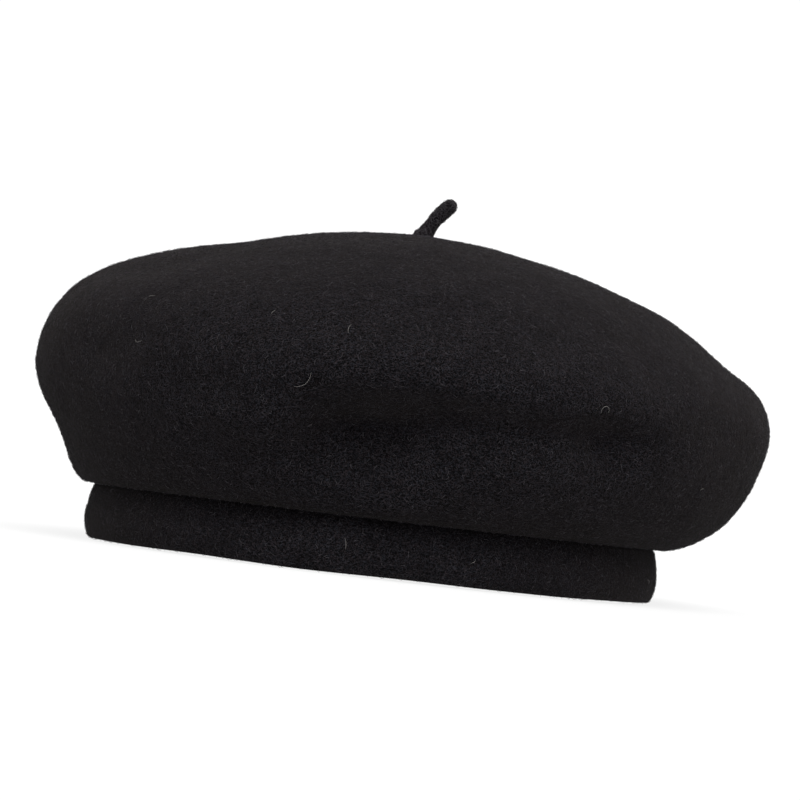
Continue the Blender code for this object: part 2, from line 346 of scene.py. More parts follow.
def make_felt(name, dark, warm, cool, relief_depth):
    felt_numbers = {"Roughness": 0.95, "Specular IOR Level": 0.02, "Sheen Weight": 0.022}
    felt_numbers |= {"Sheen Roughness": 0.40, "Sheen Tint": (1.0, 0.86, 0.76, 1.0)}
    made, graph, sockets = finish(name, felt_numbers)
    place = graph.node("ShaderNodeTexCoord").other("Object")
    bend = graph.vector("SUBTRACT", cloud(graph, place, BENDS).other("Color"), (0.5, 0.5, 0.5))
    bent = graph.vector("ADD", place, graph.vector("SCALE", bend, Scale=BEND_DEPTH))
    mat = strands(graph, bent, WAYS[0], FIBRE_ACROSS, FIBRE_ALONG)
    for turn in WAYS[1:]:
        mat = mat.most(strands(graph, bent, turn, FIBRE_ACROSS, FIBRE_ALONG))
    patches = cloud(graph, place, PATCHES, 4.0, 0.6)
    specks = cloud(graph, place, SPECKS, 1.0)
    lit = mat.between(0.61, 0.73) * 0.60 + specks.between(0.48, 0.62) * 0.40
    lit = lit * (patches.between(0.30, 0.75) * 0.5 + 0.75)
    dye = cloud(graph, place, DYE, 1.0).between(0.40, 0.60)
    graph.feed(sockets["Base Color"], tint(graph, lit, dark, tint(graph, dye, warm, cool)))
    height = mat * 0.8 + patches * 0.4 + cloud(graph, place, LUMPS, 3.0, 0.6) * 0.5
    graph.feed(sockets["Normal"], relief(graph, height, relief_depth))
    return made


SHADE = (0.0009, 0.0008, 0.0010, 1)
WARM_BLACK, COOL_BLACK = (0.0230, 0.0190, 0.0212, 1), (0.0190, 0.0192, 0.0234, 1)
felt = make_felt("beret_felt", SHADE, WARM_BLACK, COOL_BLACK, 0.0009)
print("felt:", len(felt.node_tree.nodes), "nodes")

# %% [markdown]
# ## Satin, leather, thread and ribbon
# These are the inside of the beret. Satin is a weave of long floats, so it is fine lines one way and
# nearly none the other. Leather is a net of small cells with pores. The thread is two plies twisted
# round each other, and the ribbon is a plain weave. Each is a pattern in real millimetres, so that
# it keeps its scale from piece to piece.


# %% Satin
def make_satin(name):
    numbers = {"Roughness": 0.34, "Anisotropic": 0.5, "Sheen Weight": 0.05}
    made, graph, sockets = finish(name, numbers)
    place = graph.node("ShaderNodeTexCoord").other("Object")
    floats = strands(graph, place, (0.0, 0.0, 0.0), 5200.0, 500.0)
    slubs = strands(graph, place, (0.0, 0.0, math.pi / 2), 2400.0, 90.0)
    mixed = floats * 0.6 + slubs * 0.4
    graph.feed(
        sockets["Base Color"],
        tint(graph, mixed.between(0.35, 0.7), (0.010, 0.010, 0.012, 1), (0.030, 0.030, 0.034, 1)),
    )
    graph.feed(sockets["Roughness"], mixed * 0.25 + 0.22)
    graph.feed(sockets["Normal"], relief(graph, mixed, 0.00008))
    return made


satin = make_satin("lining_satin")


# %% Leather
def make_leather(name):
    made, graph, sockets = finish(name, {"Specular IOR Level": 0.45})
    place = graph.node("ShaderNodeTexCoord").other("Object")
    shift = graph.vector("SCALE", cloud(graph, place, 400.0).other("Color"), Scale=0.0012)
    bent = graph.vector("ADD", place, shift)
    cells = graph.node(
        "ShaderNodeTexVoronoi", {"feature": "DISTANCE_TO_EDGE"}, {"Vector": bent, "Scale": 950.0}
    )
    pores = graph.node("ShaderNodeTexVoronoi", {}, {"Vector": bent, "Scale": 1500.0})
    wear = cloud(graph, place, 60.0, 4.0, 0.6).between(0.4, 0.7)
    raised = cells.between(0.0, 0.14, smooth=True)
    shade = tint(graph, raised, (0.008, 0.007, 0.006, 1), (0.026, 0.022, 0.019, 1))
    graph.feed(sockets["Base Color"], tint(graph, wear * 0.5, shade, (0.040, 0.033, 0.028, 1)))
    graph.feed(sockets["Roughness"], 0.62 - raised * 0.18 + wear * 0.08)
    graph.feed(sockets["Normal"], relief(graph, raised * 0.8 + pores * 0.3, 0.00012))
    return made


leather = make_leather("sweatband_leather")


# %% Thread and ribbon
def make_woven(name, dark, light, count, depth):
    """Two sets of threads that cross, `count` of them to the metre."""
    made, graph, sockets = finish(name, {"Roughness": 0.7, "Sheen Weight": 0.1})
    x, y, z = graph.parts(graph.node("ShaderNodeTexCoord").other("Object"))
    warp = ((x + y * 0.35) * (math.tau * count)).sine()
    weft = (z * (math.tau * count)).sine()
    over = (warp * weft) * 0.5 + 0.5
    uneven = cloud(graph, graph.node("ShaderNodeTexCoord").other("Object"), 800.0, 3.0)
    lit = over * 0.7 + uneven * 0.3
    graph.feed(sockets["Base Color"], tint(graph, lit, dark, light))
    graph.feed(sockets["Roughness"], 0.8 - over * 0.2)
    graph.feed(sockets["Normal"], relief(graph, lit, depth))
    return made


thread = make_woven("black_thread", (0.008, 0.008, 0.009, 1), (0.045, 0.043, 0.046, 1), 3000.0, 0.0001)
ribbon = make_woven("grey_ribbon", (0.26, 0.25, 0.24, 1), (0.50, 0.49, 0.47, 1), 1800.0, 0.0001)
print("finishes:", [m.name for m in (felt, satin, leather, thread, ribbon)])

# %% [markdown]
# ## The crown
# The crown is one bag of felt with no seam: from the stalk it runs out to a soft edge, turns under,
# and is gathered in by the headband. It could be sculpted by hand. Here its section follows a rule
# (an ellipse on top, a flatter curve beneath), so a tree makes it from a flat grid: one side of the
# grid goes round, the other runs from the stalk to the crease. The hand-pressed folds are added as
# soft hollows at chosen places, and slow noise keeps the rest from looking turned on a lathe.

# %% Hollows pressed into the felt
MM = 0.001
# Each, in millimetres: middle (x, z), half width, reach above and below, depth. They lie on the
# -Y side, and a depth below zero is the full roll of felt that hangs over a fold.
HOLLOWS = [
    ((-48, 47), 14, 12, 6, -4.2),
    ((-6, 62), 26, 10, 4, -3.4),
    ((50, 61), 26, 9, 5, -3.2),
    ((-24, 40), 8, 8, 9, 7.0),
    ((-6, 41), 12, 8.5, 12, 14.5),
    ((14, 47), 10, 9, 8, 6.5),
    ((38, 50), 13, 6, 6, 4.0),
    ((67, 50), 8, 5.5, 6, 6.5),
    ((101, 60), 9, 4, 5, 1.4),
    ((-57, 53), 10, 6, 7, 2.4),
    ((-100, 61), 8, 6, 6, 2.0),
    ((-96, 93), 10, 3.5, 3.5, 2.0),
]
# Places all round where the felt has slumped, or stands proud where the depth is below zero.
# Each, in millimetres: middle, half widths, depth.
SLUMPS = [
    ((-58, 0, 110), (24, 70, 40), 4.0),
    ((62, 0, 108), (32, 70, 40), 3.0),
    ((-118, 0, 36), (20, 45, 10), 3.0),
    ((-124, 0, 80), (14, 50, 12), 2.8),
    ((100, 0, 88), (18, 50, 12), 0.8),
    ((122, 0, 76), (9, 45, 9), -2.8),
    ((1.5, 0, 118), (5, 5, 20), -0.9),
]
TOP_SHARE, UNDER_SHARE = 0.66, 0.93  # where the edge and the crease fall along the grid
TUCK_IN, TUCK_UP = 0.0034, 0.0010
GATHERS = 46  # small pleats round the lining


def hollow_depth(graph, x, z):
    """How deep the pressed folds are at (x, z), in metres."""
    for (middle_x, middle_z), wide, above, below, depth in HOLLOWS:
        away_x = (x - middle_x * MM) / (wide * MM)
        away_z = z - middle_z * MM
        reach = (away_z > 0.0) * ((above - below) * MM) + below * MM
        away_z = away_z / reach
        yield ((away_x * away_x + away_z * away_z) * -0.5).exponential() * (depth * MM)


def slump_depth(graph, places):
    """How deep the slumps are at a point, in metres."""
    for middle, half_widths, depth in SLUMPS:
        away = [(at - m * MM) / (w * MM) for at, m, w in zip(places, middle, half_widths)]
        square = away[0] * away[0] + away[1] * away[1] + away[2] * away[2]
        yield (square * -0.5).exponential() * (depth * MM)


# %% The tree that makes the crown and its lining
CROWN_INPUTS = {"Around": int, "Along": int, "Finish": "material"}
CROWN_INPUTS |= dict.fromkeys(("From", "To", "Inset", "Sag"), float)
CROWN_INPUTS |= dict.fromkeys(("Folds", "Ripple", "Gather", "Tuck in"), float)
# The felt's own unevenness: waves to the metre, detail, roughness, height in metres.
RIPPLES = [(14.0, 1.0, 0.4, 0.0042), (38.0, 1.0, 0.4, 0.0016), (130.0, 2.0, 0.5, 0.0005)]


def crown_place(graph, given, round_it, along_it):
    """Where a point of the grid lies on the crown, which runs from the stalk to the crease."""
    turn = round_it * -math.tau
    run = along_it * (given["To"] - given["From"]) + given["From"]
    over = run.between(0.0, TOP_SHARE) * (math.pi / 2)
    under = run.between(TOP_SHARE, UNDER_SHARE) * (math.pi / 2)
    tuck = run.between(UNDER_SHARE, 1.0)

    power = 2 / UNDERSIDE_POWER
    inward = 1.0 - under.cosine().most(0.0) ** power
    down = under.sine().most(0.0) ** power
    overhang, drop = EDGE_RADIUS - OPENING_RADIUS, EDGE_HEIGHT - CREASE_HEIGHT
    radius = over.sine() * EDGE_RADIUS - inward * overhang - tuck * given["Tuck in"]
    z = over.cosine() * (CROWN_TOP - EDGE_HEIGHT) + EDGE_HEIGHT - down * drop
    z = z + tuck * tuck * TUCK_UP
    x, y = turn.cosine() * radius, turn.sine() * radius

    out = radius.between(OPENING_RADIUS, EDGE_RADIUS)
    x_under = x + (1.0 - out) * (1.0 - out) * BAND_OFFSET
    y_under = y * (out * (CROWN_OVAL - BAND_OVAL) + BAND_OVAL)
    lift = (z.between(EDGE_HEIGHT, CROWN_TOP) * math.pi).sine()
    swell = 1.0 - lift * lift * x * (SHOULDER_SWELL / EDGE_RADIUS)
    x_over, y_over = x * swell, y * swell * CROWN_OVAL
    below = run > TOP_SHARE
    x = x_over + (x_under - x_over) * below
    y = y_over + (y_under - y_over) * below
    middle = 1.0 - (radius / EDGE_RADIUS).least(1.0) ** 2.0
    return graph.join(x, y, z - middle * middle * given["Sag"])


def crown_moves(graph, given):
    """How far each point of the crown moves outwards: ripples, less gathers, folds and slumps."""
    place = graph.node("GeometryNodeInputPosition")
    px, py, pz = graph.parts(place)
    front = (py * -1.0).between(0.005, 0.045, smooth=True)
    held = pz.between(CREASE_HEIGHT + 0.001, CREASE_HEIGHT + 0.012)
    pressed = sum(hollow_depth(graph, px, pz)) * front * held
    slumped = sum(slump_depth(graph, (px, py, pz)))
    ripples = sum((cloud(graph, place, *pattern) - 0.5) * high for *pattern, high in RIPPLES)
    uneven = ripples * held * given["Ripple"]
    angle = graph.node("ShaderNodeMath", {"operation": "ARCTAN2"}, {0: py, 1: px})
    pleats = (angle * GATHERS + cloud(graph, place, 25.0) * 9.0).sine() * 0.5 + 0.5
    near_edge = graph.vector("LENGTH", graph.join(px, py, 0.0), out=1) / EDGE_RADIUS
    gathered = pleats * (near_edge ** 3.0) * given["Gather"]
    return uneven - gathered - (pressed + slumped) * given["Folds"]


def make_crown_tree():
    graph, given = shape_tree("crown_rule", CROWN_INPUTS)
    flat, round_it, along_it = flat_grid(graph, given["Around"], given["Along"])
    bag = laid_out(graph, flat, crown_place(graph, given, round_it, along_it), 1e-5)
    normal = graph.node("GeometryNodeInputNormal")
    bag = shifted(graph, bag, graph.vector("SCALE", normal, Scale=given["Inset"] * -1.0))
    bag = shifted(graph, bag, graph.vector("SCALE", normal, Scale=crown_moves(graph, given)))
    return finish_tree(graph, bag, given["Finish"])


crown_tree = make_crown_tree()

# %% The crown
crown_values = {"Around": 320, "Along": 130, "From": 0.0, "To": 1.0, "Inset": 0.0, "Sag": 0.0}
crown_values |= {"Folds": 1.0, "Ripple": 1.0, "Gather": 0.0, "Tuck in": TUCK_IN, "Finish": felt}
crown_skin = grown("crown_skin", crown_tree, crown_values)
crown = with_wall(placed("crown_felt", crown_skin.data.copy()), FELT)
print("crown:", [round(1000 * size, 1) for size in crown.dimensions], "mm")

# %% [markdown]
# ## The headband and the sweatband
# The headband is the same felt folded double and pressed flat, so it is a ring with a long upright
# section, rounded where the fold lies. The leather sweatband is a ring of the same kind, thinner. A
# lathe could make both, but they would be too true: the tree lets the wall belly out a little low
# down and wander in and out as a sewn ring does.

# %% The tree that makes a band
BAND_INPUTS = {"Around": int, "Section": int, "Finish": "material"}
BAND_INPUTS |= dict.fromkeys(("Outer", "Wall", "Low", "High", "Squareness"), float)
BAND_INPUTS |= dict.fromkeys(("Belly", "Wander", "Lean", "Ease"), float)
BELLY_MIDDLE, BELLY_REACH = 0.36, 0.27  # where the wall bellies, as shares of its height


def make_band_tree():
    graph, given = shape_tree("band_rule", BAND_INPUTS)
    flat, round_it, along_it = flat_grid(graph, given["Around"], given["Section"])
    turn, section = round_it * math.tau, along_it * math.tau
    power = 2.0 / given["Squareness"]
    across, up = section.cosine(), section.sine()
    across = across.absolute() ** power * across.sign()
    up = up.absolute() ** power * up.sign()
    half = given["Wall"] * 0.5
    tall = given["High"] - given["Low"]
    radius = given["Outer"] - half + across * half
    z = given["Low"] + (up * 0.5 + 0.5) * tall
    place = graph.join(turn.cosine() * radius, turn.sine() * radius * BAND_OVAL, z)
    ring = laid_out(graph, flat, place, 2e-6)

    place = graph.node("GeometryNodeInputPosition")
    px, py, pz = graph.parts(place)
    share = (pz - given["Low"]) / tall
    low_down = (share - BELLY_MIDDLE) / BELLY_REACH
    belly = (low_down * low_down * -1.0).exponential() * given["Belly"]
    wander = (cloud(graph, place, 16.0, 1.0) - 0.5) * 2.0 + (cloud(graph, place, 60.0, 1.0) - 0.5)
    reach = belly + wander * given["Wander"] - share * share * given["Lean"]
    reach = reach - share.between(0.60, 1.0, smooth=True) * given["Ease"]
    outwards = graph.vector("NORMALIZE", graph.join(px, py, 0.0))
    offset = graph.vector("SCALE", outwards, Scale=reach)
    rise = cloud(graph, place, 11.0, 1.0).between(0.35, 0.75) * (1.0 - share).most(0.0)
    ox, oy, _ = graph.parts(offset)
    offset = graph.join(ox + BAND_OFFSET, oy, rise * given["Wander"] * 0.9)
    return finish_tree(graph, shifted(graph, ring, offset), given["Finish"])


band_tree = make_band_tree()

# %% The headband and the sweatband
LEATHER_WALL = 0.0009
SWEAT_RADIUS = (sweat_high[0] - sweat_low[0]) / 2
band_values = {"Around": 320, "Section": 64, "Outer": BAND_RADIUS, "Wall": BAND_WALL, "Low": 0.0}
band_values |= {"High": BAND_HEIGHT + 0.0008, "Squareness": 3.1, "Belly": 0.0008, "Wander": 0.0010}
band_values |= {"Lean": 0.0, "Ease": 0.0005, "Finish": felt}
headband = grown("headband_felt", band_tree, band_values)
sweat_values = band_values | {"Section": 48, "Squareness": 5.0, "Belly": 0.0, "Wander": 0.0002}
sweat_values |= {"Outer": SWEAT_RADIUS, "Wall": LEATHER_WALL, "Lean": 0.0008, "Ease": 0.0}
sweat_values |= {"Low": sweat_low[2], "High": sweat_high[2], "Finish": leather}
sweatband = grown("sweatband_leather", band_tree, sweat_values)

# %% [markdown]
# ## The lining
# A satin tip covers the head and a satin side turns under the edge, with a thin piping where they
# meet. Cloth could be simulated here, but the lining is sewn all round and only sags a little in
# the middle, so the crown's own rule makes it: sunk by the felt's thickness, with small gathers
# towards the edge and the same pressed folds as the felt outside it.

# %% The lining's tip and side
LINING_WALL = 0.0003
under_felt = FELT + 0.0006
lining_values = crown_values | {"Inset": under_felt, "Gather": 0.0007, "Finish": satin}
tip_values = lining_values | {"To": TOP_SHARE - 0.012, "Sag": 0.0042, "Around": 280, "Along": 80}
side_values = lining_values | {"From": TOP_SHARE + 0.010, "Tuck in": 0.0060, "Around": 280, "Along": 40}
lining_tip = with_wall(grown("lining_tip_satin", crown_tree, tip_values), LINING_WALL)
lining_side = with_wall(grown("lining_side_satin", crown_tree, side_values), LINING_WALL)


def one_face_area(obj):
    """The area of one face of a thin closed sheet, in square metres."""
    return sum(face.area for face in obj.data.polygons) / 2


tip_area, side_area = one_face_area(lining_tip), one_face_area(lining_side)
print(f"lining: tip {1e4 * tip_area:.0f} and side {1e4 * side_area:.0f} square centimetres")

# %% The piping between them
def searchable(obj):
    """An object's skin, for finding the nearest place on it or where a ray meets it."""
    mesh = obj.data
    return BVHTree.FromPolygons([v.co for v in mesh.vertices], [list(f.vertices) for f in mesh.polygons])


skin = searchable(crown_skin)
PIPING_RADIUS = (piping_high[2] - piping_low[2]) / 2


def tube(name, rows, radius, surface, closed=False, ends=None):
    """One mesh of round tubes, each along its own row of points."""
    curve = bpy.data.curves.new(name, "CURVE")
    curve.dimensions = "3D"
    curve.bevel_depth = radius
    curve.bevel_resolution = 1
    curve.use_fill_caps = not closed
    for row in rows:
        line = curve.splines.new("POLY")
        line.points.add(len(row) - 1)
        for number, (point, co) in enumerate(zip(line.points, row)):
            point.co = (*co, 1)
            point.radius = 1.0 if ends is None else ends[number]
        line.use_cyclic_u = closed
    source = placed(name, curve)
    mesh = plain_mesh(source)
    bpy.data.objects.remove(source, do_unlink=True)
    mesh.materials.clear()
    mesh.materials.append(surface)
    mesh.shade_smooth()
    return placed(name, mesh)


PIPING_POINTS = 240
piping_row = []
for step in range(PIPING_POINTS):
    angle = math.tau * step / PIPING_POINTS
    across = Vector((math.cos(angle), math.sin(angle), 0))
    hit, normal, _, _ = skin.ray_cast(Vector((0, 0, EDGE_HEIGHT)), across)
    piping_row.append(hit - normal * (under_felt + LINING_WALL + PIPING_RADIUS))
piping = tube("lining_piping_satin", [piping_row], PIPING_RADIUS, satin, closed=True)
print("piping:", len(piping.data.polygons), "faces")

# %% [markdown]
# ## Stitches
# One row holds the sweatband along its lower edge, and an overcast row joins the crown to the
# headband. A thread could be one long wavy tube, as in the working model. Single stitches look
# right closer up, so a tree sets one small arched stitch on each point of a ring.

# %% The tree that sets a row of stitches
STITCH_INPUTS = {"Count": int, "Finish": "material"}
STITCH_INPUTS |= dict.fromkeys(("Ring", "Height", "Length", "Thickness"), float)
STITCH_INPUTS |= dict.fromkeys(("Inward", "Upward", "Slant"), float)


def make_stitch_tree():
    graph, given = shape_tree("stitch_row", STITCH_INPUTS)
    along = graph.node("GeometryNodeSplineParameter") * 2.0 - 1.0
    line = graph.node("GeometryNodeCurvePrimitiveLine", {}, {"Start": (-1, 0, 0), "End": (1, 0, 0)})
    line = graph.node("GeometryNodeResampleCurve", {}, {"Curve": line, "Count": 5})
    arch = 1.0 - along * along * 1.3
    place = graph.join(along * given["Length"] * 0.5, arch * given["Inward"], arch * given["Upward"])
    line = graph.node("GeometryNodeSetPosition", {}, {"Geometry": line, "Position": place})
    ring = {"Resolution": 6, "Radius": given["Thickness"]}
    profile = graph.node("GeometryNodeCurvePrimitiveCircle", {}, ring)
    values = {"Curve": line, "Profile Curve": profile, "Fill Caps": True}
    stitch = graph.node("GeometryNodeCurveToMesh", {}, values)
    stitch = graph.node("GeometryNodeSetShadeSmooth", {}, {"Geometry": stitch})

    places = {"Vertices": given["Count"], "Radius": given["Ring"]}
    row = graph.node("GeometryNodeMeshCircle", {}, places)
    x, y, _ = graph.parts(graph.node("GeometryNodeInputPosition"))
    on_band = graph.join(x + BAND_OFFSET, y * BAND_OVAL, given["Height"])
    row = graph.node("GeometryNodeSetPosition", {}, {"Geometry": row, "Position": on_band})
    x, y, _ = graph.parts(graph.node("GeometryNodeInputPosition"))
    angle = graph.node("ShaderNodeMath", {"operation": "ARCTAN2"}, {0: y, 1: x - BAND_OFFSET})
    jitter = graph.node("FunctionNodeRandomValue", {}, {2: -0.06, 3: 0.06, "Seed": 5}, 1)
    turned = graph.node("FunctionNodeEulerToRotation", {}, {0: graph.join(0.0, 0.0, angle + math.pi / 2)})
    lean = graph.node("FunctionNodeEulerToRotation", {}, {0: graph.join(0.0, jitter, given["Slant"])})
    values = {"Rotation": turned, "Rotate By": lean}
    turned = graph.node("FunctionNodeRotateRotation", {"rotation_space": "LOCAL"}, values)
    values = {"Points": row, "Instance": stitch, "Rotation": turned}
    return finish_tree(graph, graph.node("GeometryNodeInstanceOnPoints", {}, values), given["Finish"])


stitch_tree = make_stitch_tree()

# %% The two rows
sweat_inner = SWEAT_RADIUS - LEATHER_WALL
row_values = {"Ring": sweat_inner - 0.0001, "Height": sweat_low[2] + 0.0022, "Length": 0.0027}
row_values |= {"Thickness": 0.00022, "Inward": 0.0003, "Upward": 0.0, "Slant": 0.0, "Count": 172}
sweatband_stitches = grown("sweatband_stitches", stitch_tree, row_values | {"Finish": thread})
row_values |= {"Ring": BAND_RADIUS - 0.0024, "Height": BAND_HEIGHT + 0.0008, "Inward": 0.0}
row_values |= {"Upward": 0.0004, "Slant": 0.9, "Count": 150, "Length": 0.0030}
seam_stitches = grown("crown_seam_stitches", stitch_tree, row_values | {"Finish": thread})

# %% [markdown]
# ## The stalk
# The stalk is a tail of yarn that was left on the knitting and felted hard with the rest. It is
# thin at its neck, fuller towards its tip, and spreads where it grows out of the crown. It leans
# over evenly from its foot, so again a rule on a grid makes it, with slow noise for its lumps.

# %% The stalk
STALK_INPUTS = {"Around": int, "Along": int, "Finish": "material"}
STALK_INPUTS |= dict.fromkeys(("Length", "Buried", "Neck", "Belly", "Foot", "Lean foot", "Lean tip"), float)


def make_stalk_tree():
    graph, given = shape_tree("stalk_rule", STALK_INPUTS)
    flat, round_it, along_it = flat_grid(graph, given["Around"], given["Along"])
    turn, run = round_it * math.tau, (along_it * (math.pi / 2)).sine()
    length = given["Length"]
    reach = run * (length + given["Buried"]) - given["Buried"]
    share = reach / length
    body = share.between(0.18, 0.66, smooth=True) * (given["Belly"] - given["Neck"]) + given["Neck"]
    above_felt = (reach + 0.0009).most(0.0)
    foot = (above_felt / -0.0013).exponential() * given["Foot"]
    near_tip = reach.between(length - given["Belly"] * 1.1, length)
    rounded = (1.0 - near_tip * near_tip).most(0.0) ** 0.5
    radius = (body + foot) * rounded
    lean_now = given["Lean foot"] + (given["Lean tip"] - given["Lean foot"]) * share.most(0.0)
    lean_mean = (given["Lean foot"] + lean_now) * 0.5
    across = turn.cosine() * radius
    x = lean_mean.sine() * reach + lean_now.cosine() * across + STALK_PIVOT.x
    z = lean_mean.cosine() * reach - lean_now.sine() * across + STALK_PIVOT.z
    y = turn.sine() * radius + STALK_PIVOT.y
    tail = laid_out(graph, flat, graph.join(x, y, z), 2e-6)
    place = graph.node("GeometryNodeInputPosition")
    lumps = (cloud(graph, place, 260.0, 2.0) - 0.5) * 0.0008
    offset = graph.vector("SCALE", graph.node("GeometryNodeInputNormal"), Scale=lumps)
    tail = shifted(graph, tail, offset)
    tail = graph.node("GeometryNodeFlipFaces", {}, {"Mesh": tail})
    return finish_tree(graph, tail, given["Finish"])


stalk_values = {"Around": 40, "Along": 70, "Length": 0.0150, "Buried": 0.0026, "Neck": 0.0024}
stalk_values |= {"Belly": 0.0026, "Foot": 0.0012, "Lean foot": math.radians(25)}
stalk_values |= {"Lean tip": math.radians(49), "Finish": felt}
stalk = grown("stalk_felt", make_stalk_tree(), stalk_values)


# %% Closing a piece's open end
def end_capped(obj):
    """Fills open edges, and turns every face outwards."""
    shape = bmesh.new()
    shape.from_mesh(obj.data)
    rim = [edge for edge in shape.edges if edge.is_boundary]
    bmesh.ops.holes_fill(shape, edges=rim, sides=0)
    bmesh.ops.recalc_face_normals(shape, faces=shape.faces)
    shape.to_mesh(obj.data)
    shape.free()


end_capped(stalk)

# %% [markdown]
# ## The knot inside
# Inside the crown the tail ends in a small flat knot, felted into a button under the satin. It is
# hardly ever seen, but it is what the stalk pulls against. A ball pressed flat and pinched by noise
# is near enough to a knot that has been milled.

# %% The knot
knot_low, knot_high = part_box("stalk_knot")
knot_centre = (knot_low + knot_high) / 2
knot_shape = bmesh.new()
bmesh.ops.create_uvsphere(knot_shape, u_segments=48, v_segments=24, radius=1.0)
for vertex in knot_shape.verts:
    pinch = noise.noise(vertex.co * 2.3) * 0.10 + noise.noise(vertex.co * 6.0) * 0.05
    size = (knot_high - knot_low) / 2 * (0.94 + pinch)
    swirl = 0.06 * math.sin(5 * math.atan2(vertex.co.y, vertex.co.x) + 4 * vertex.co.xy.length)
    spread = vertex.co * (1 + swirl * vertex.co.xy.length)
    vertex.co = Vector(a * b for a, b in zip(spread, size)) + knot_centre
knot_mesh = bpy.data.meshes.new("stalk_knot_felt")
knot_shape.to_mesh(knot_mesh)
knot_shape.free()
knot_mesh.materials.append(felt)
knot_mesh.shade_smooth()
knot = placed("stalk_knot_felt", knot_mesh)
print("knot:", len(knot_mesh.polygons), "faces")

# %% [markdown]
# ## The size tab
# A short length of woven ribbon is folded in a loop and caught under the sweatband's top edge. It
# carries no lettering. A strip bent along its own path, with a thin wall, is the ribbon itself.
# Its two ends are cut back, the front one more, so that the loop swings up clear of the leather.

# %% The size tab
RIBBON_WALL = 0.00024
BACK_CUT, FRONT_CUT = 0.0005, 0.0012
tab_width = tab_high[0] - tab_low[0]
tab_middle = Vector(((tab_low[0] + tab_high[0]) / 2, (tab_low[1] + tab_high[1]) / 2, 0))
bend_radius = (tab_high[1] - tab_low[1] - RIBBON_WALL) / 2
ribbon_path = [(bend_radius, z) for z in np.linspace(tab_high[2] - BACK_CUT, tab_low[2] + bend_radius, 14)]
ribbon_path += [
    (bend_radius * math.cos(a), tab_low[2] + bend_radius * (1 - math.sin(a)) + RIBBON_WALL / 2)
    for a in np.linspace(0, math.pi, 9)[1:-1]
]
ribbon_path += [
    (-bend_radius, z) for z in np.linspace(tab_low[2] + bend_radius, tab_high[2] - FRONT_CUT, 14)
]
ACROSS = 14
ribbon_points, ribbon_faces = [], []
for y, z in ribbon_path:
    for step in range(ACROSS + 1):
        share = 2 * step / ACROSS - 1
        bow = 0.00025 * share * share
        ribbon_points.append(tab_middle + Vector((share * tab_width / 2, y - bow, z)))
for row in range(len(ribbon_path) - 1):
    for step in range(ACROSS):
        first = row * (ACROSS + 1) + step
        ribbon_faces.append((first, first + 1, first + ACROSS + 2, first + ACROSS + 1))
tab_mesh = bpy.data.meshes.new("size_tab_ribbon")
tab_mesh.from_pydata(ribbon_points, [], ribbon_faces)
tab_mesh.materials.append(ribbon)
tab_mesh.shade_smooth()
size_tab = with_wall(placed("size_tab_ribbon", tab_mesh), RIBBON_WALL, side=0)
ribbon_length = sum(math.dist(a, b) for a, b in zip(ribbon_path, ribbon_path[1:]))
print(f"ribbon: {1000 * tab_width:.0f} x {1000 * ribbon_length:.0f} mm")

# %% [markdown]
# ## The nap
# Milling leaves short loose fibres standing on the felt. They blur the outline and break up the
# light, and paint alone can't do that at the edge. Each is a three-sided tapered arc, scattered
# over the felt, lying almost flat, in tones from soot to ash. One light fibre in many makes the
# wool look like wool, so the palest tone is the rarest. The tree's Facing input picks the faces:
# at 0 only those that look away from the middle of the beret, at -1 all of them.

# %% The tree that scatters fibres
NAP_INPUTS = {"Surface": "mesh", "Seed": int, "Finish": "material"}
NAP_INPUTS |= dict.fromkeys(("Density", "Length", "Thickness", "Lift", "Curl", "Tilt", "Facing"), float)


def make_nap_tree():
    graph, given = shape_tree("nap", NAP_INPUTS)
    along = graph.node("GeometryNodeSplineParameter") * 2.0 - 1.0
    line = graph.node("GeometryNodeCurvePrimitiveLine", {}, {"Start": (-1, 0, 0), "End": (1, 0, 0)})
    line = graph.node("GeometryNodeResampleCurve", {}, {"Curve": line, "Count": 3})
    arch = (1.0 - along * along) * given["Lift"] - given["Thickness"]
    bow = along * along * given["Curl"]
    place = graph.join(along * given["Length"] * 0.5, bow, arch)
    line = graph.node("GeometryNodeSetPosition", {}, {"Geometry": line, "Position": place})
    taper = 1.0 - along * along * 0.75
    line = graph.node("GeometryNodeSetCurveRadius", {}, {"Curve": line, "Radius": taper})
    ring = {"Resolution": 3, "Radius": given["Thickness"]}
    profile = graph.node("GeometryNodeCurvePrimitiveCircle", {}, ring)
    values = {"Curve": line, "Profile Curve": profile, "Fill Caps": True}
    fibre = graph.node("GeometryNodeCurveToMesh", {}, values)

    normal = graph.node("GeometryNodeInputNormal")
    outward = graph.vector("DOT_PRODUCT", normal, graph.node("GeometryNodeInputPosition"), out=1)
    values = {"Mesh": given["Surface"], "Density": given["Density"], "Seed": given["Seed"]}
    values |= {"Selection": outward > given["Facing"]}
    spots = graph.node("GeometryNodeDistributePointsOnFaces", {}, values)

    def chance(low, high, shift):
        values = {2: low, 3: high, "Seed": given["Seed"] + float(shift)}
        return graph.node("FunctionNodeRandomValue", {}, values, 1)

    tilt = given["Tilt"]
    turn = graph.join(chance(-0.3, 0.3, 11), chance(-1.0, 1.0, 12) * tilt, chance(0.0, math.tau, 13))
    turn = graph.node("FunctionNodeEulerToRotation", {}, {0: turn})
    values = {"Rotation": spots.other("Rotation"), "Rotate By": turn}
    turn = graph.node("FunctionNodeRotateRotation", {"rotation_space": "LOCAL"}, values)
    size = graph.join(chance(0.5, 1.3, 14), chance(0.5, 1.5, 15), chance(0.2, 1.6, 16))
    values = {"Points": spots, "Instance": fibre, "Rotation": turn, "Scale": size}
    scattered = graph.node("GeometryNodeInstanceOnPoints", {}, values)
    return finish_tree(graph, scattered, given["Finish"])


nap_tree = make_nap_tree()


